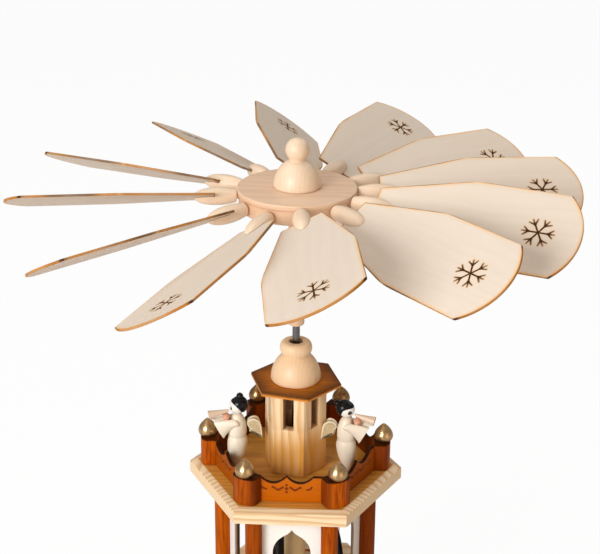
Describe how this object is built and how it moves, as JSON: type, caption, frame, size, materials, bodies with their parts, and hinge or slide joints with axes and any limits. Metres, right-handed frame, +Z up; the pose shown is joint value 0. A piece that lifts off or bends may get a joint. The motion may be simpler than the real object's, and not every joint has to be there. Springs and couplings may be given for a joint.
{
  "type": "christmas pyramid",
  "caption": "Wooden Christmas pyramid: fan wheel of pitched blades on a steel rod, domed tower with trumpet angels on a railed balcony, arched colonnade with turning figures, candle base",
  "frame": {"origin": "middle of the base's flat underside, on the wheel's axis", "axes": "+Z up along the turning axis; -Y is the front face of the hexagonal base and balcony, +X to its right"},
  "size_m": [0.366, 0.3671, 0.4267],
  "materials": {
    "pine": "clear-lacquered pine, satin",
    "pale_wood": "turned pale wood, satin lacquer",
    "blade_ply": "thin sanded plywood with scorched edges",
    "orange_stain": "orange-brown stain, gloss lacquer",
    "roof_stain": "reddish brown stain, satin lacquer",
    "white_panel": "white painted thin panel",
    "gold": "gold lacquered turned wood",
    "steel": "bright drawn rod",
    "brass": "turned",
    "ivory_robe": "ivory painted turned wood",
    "white_face": "white painted turned wood, gloss",
    "cream_horn": "cream painted turned wood",
    "black_cape": "black painted turned wood, gloss"
  },
  "bodies": {
    "stand": {"base": "pine", "bearing_cup": "brass", "candle_cup_1": "pale_wood", "candle_cup_2": "pale_wood", "candle_cup_3": "pale_wood", "candle_cup_4": "pale_wood", "candle_cup_5": "pale_wood", "candle_cup_6": "pale_wood", "colonnade": "orange_stain", "arch_screen": "white_panel", "balcony_plate": "pine", "balustrade": "orange_stain", "finial_1": "gold", "finial_2": "gold", "finial_3": "gold", "finial_4": "gold", "finial_5": "gold", "finial_6": "gold", "tower": "pine", "roof": "roof_stain", "dome": "pale_wood", "dome_bush": "steel", "angel_left_body": "ivory_robe", "angel_left_head": "white_face", "angel_left_trumpet": "cream_horn", "angel_right_body": "ivory_robe", "angel_right_head": "white_face", "angel_right_trumpet": "cream_horn"},
    "rotor": {"steel_rod": "steel", "axle_sleeve": "pale_wood", "turntable": "pine", "caroler_1": "black_cape", "caroler_2": "black_cape", "caroler_3": "black_cape"},
    "fan": {"fan_hub": "pale_wood", "fan_knob": "pale_wood"},
    "blade_1": {"peg_1": "pale_wood", "blade_1": "blade_ply"},
    "blade_2": {"peg_2": "pale_wood", "blade_2": "blade_ply"},
    "blade_3": {"peg_3": "pale_wood", "blade_3": "blade_ply"},
    "blade_4": {"peg_4": "pale_wood", "blade_4": "blade_ply"},
    "blade_5": {"peg_5": "pale_wood", "blade_5": "blade_ply"},
    "blade_6": {"peg_6": "pale_wood", "blade_6": "blade_ply"},
    "blade_7": {"peg_7": "pale_wood", "blade_7": "blade_ply"},
    "blade_8": {"peg_8": "pale_wood", "blade_8": "blade_ply"},
    "blade_9": {"peg_9": "pale_wood", "blade_9": "blade_ply"},
    "blade_10": {"peg_10": "pale_wood", "blade_10": "blade_ply"},
    "blade_11": {"peg_11": "pale_wood", "blade_11": "blade_ply"},
    "blade_12": {"peg_12": "pale_wood", "blade_12": "blade_ply"}
  },
  "joints": [
    {"name": "rotor_spin", "type": "hinge", "parent": "stand", "child": "rotor", "pos_m": [0, 0, 0.09], "axis": [0, 0, 1], "continuous": true},
    {"name": "fan_lift", "type": "slide", "parent": "rotor", "child": "fan", "axis": [0, 0, 1], "range_m": [0, 0.092]},
    {"name": "blade_1_pitch", "type": "hinge", "parent": "fan", "child": "blade_1", "pos_m": [0, 0, 0.3892], "axis": [0.108, -0.9942, 0], "range_deg": [-15, 15]},
    {"name": "blade_2_pitch", "type": "hinge", "parent": "fan", "child": "blade_2", "pos_m": [0, 0, 0.3892], "axis": [-0.4017, -0.9107, -0.0958], "range_deg": [-15, 15]},
    {"name": "blade_3_pitch", "type": "hinge", "parent": "fan", "child": "blade_3", "pos_m": [0, 0, 0.3892], "axis": [-0.8045, -0.5888, -0.0785], "range_deg": [-15, 15]},
    {"name": "blade_4_pitch", "type": "hinge", "parent": "fan", "child": "blade_4", "pos_m": [0, 0, 0.3892], "axis": [-0.9842, -0.1771, 0.0087], "range_deg": [-15, 15]},
    {"name": "blade_5_pitch", "type": "hinge", "parent": "fan", "child": "blade_5", "pos_m": [0, 0, 0.3892], "axis": [-0.9348, 0.3551, 0], "range_deg": [-15, 15]},
    {"name": "blade_6_pitch", "type": "hinge", "parent": "fan", "child": "blade_6", "pos_m": [0, 0, 0.3892], "axis": [-0.5327, 0.8459, -0.0262], "range_deg": [-15, 15]},
    {"name": "blade_7_pitch", "type": "hinge", "parent": "fan", "child": "blade_7", "pos_m": [0, 0, 0.3892], "axis": [-0.0993, 0.995, -0.0087], "range_deg": [-15, 15]},
    {"name": "blade_8_pitch", "type": "hinge", "parent": "fan", "child": "blade_8", "pos_m": [0, 0, 0.3892], "axis": [0.4351, 0.9, 0.0262], "range_deg": [-15, 15]},
    {"name": "blade_9_pitch", "type": "hinge", "parent": "fan", "child": "blade_9", "pos_m": [0, 0, 0.3892], "axis": [0.8367, 0.5475, -0.0087], "range_deg": [-15, 15]},
    {"name": "blade_10_pitch", "type": "hinge", "parent": "fan", "child": "blade_10", "pos_m": [0, 0, 0.3892], "axis": [0.9958, 0.0906, 0.0087], "range_deg": [-15, 15]},
    {"name": "blade_11_pitch", "type": "hinge", "parent": "fan", "child": "blade_11", "pos_m": [0, 0, 0.3892], "axis": [0.9219, -0.3875, 0], "range_deg": [-15, 15]},
    {"name": "blade_12_pitch", "type": "hinge", "parent": "fan", "child": "blade_12", "pos_m": [0, 0, 0.3892], "axis": [0.6454, -0.7637, -0.0175], "range_deg": [-15, 15]}
  ]
}
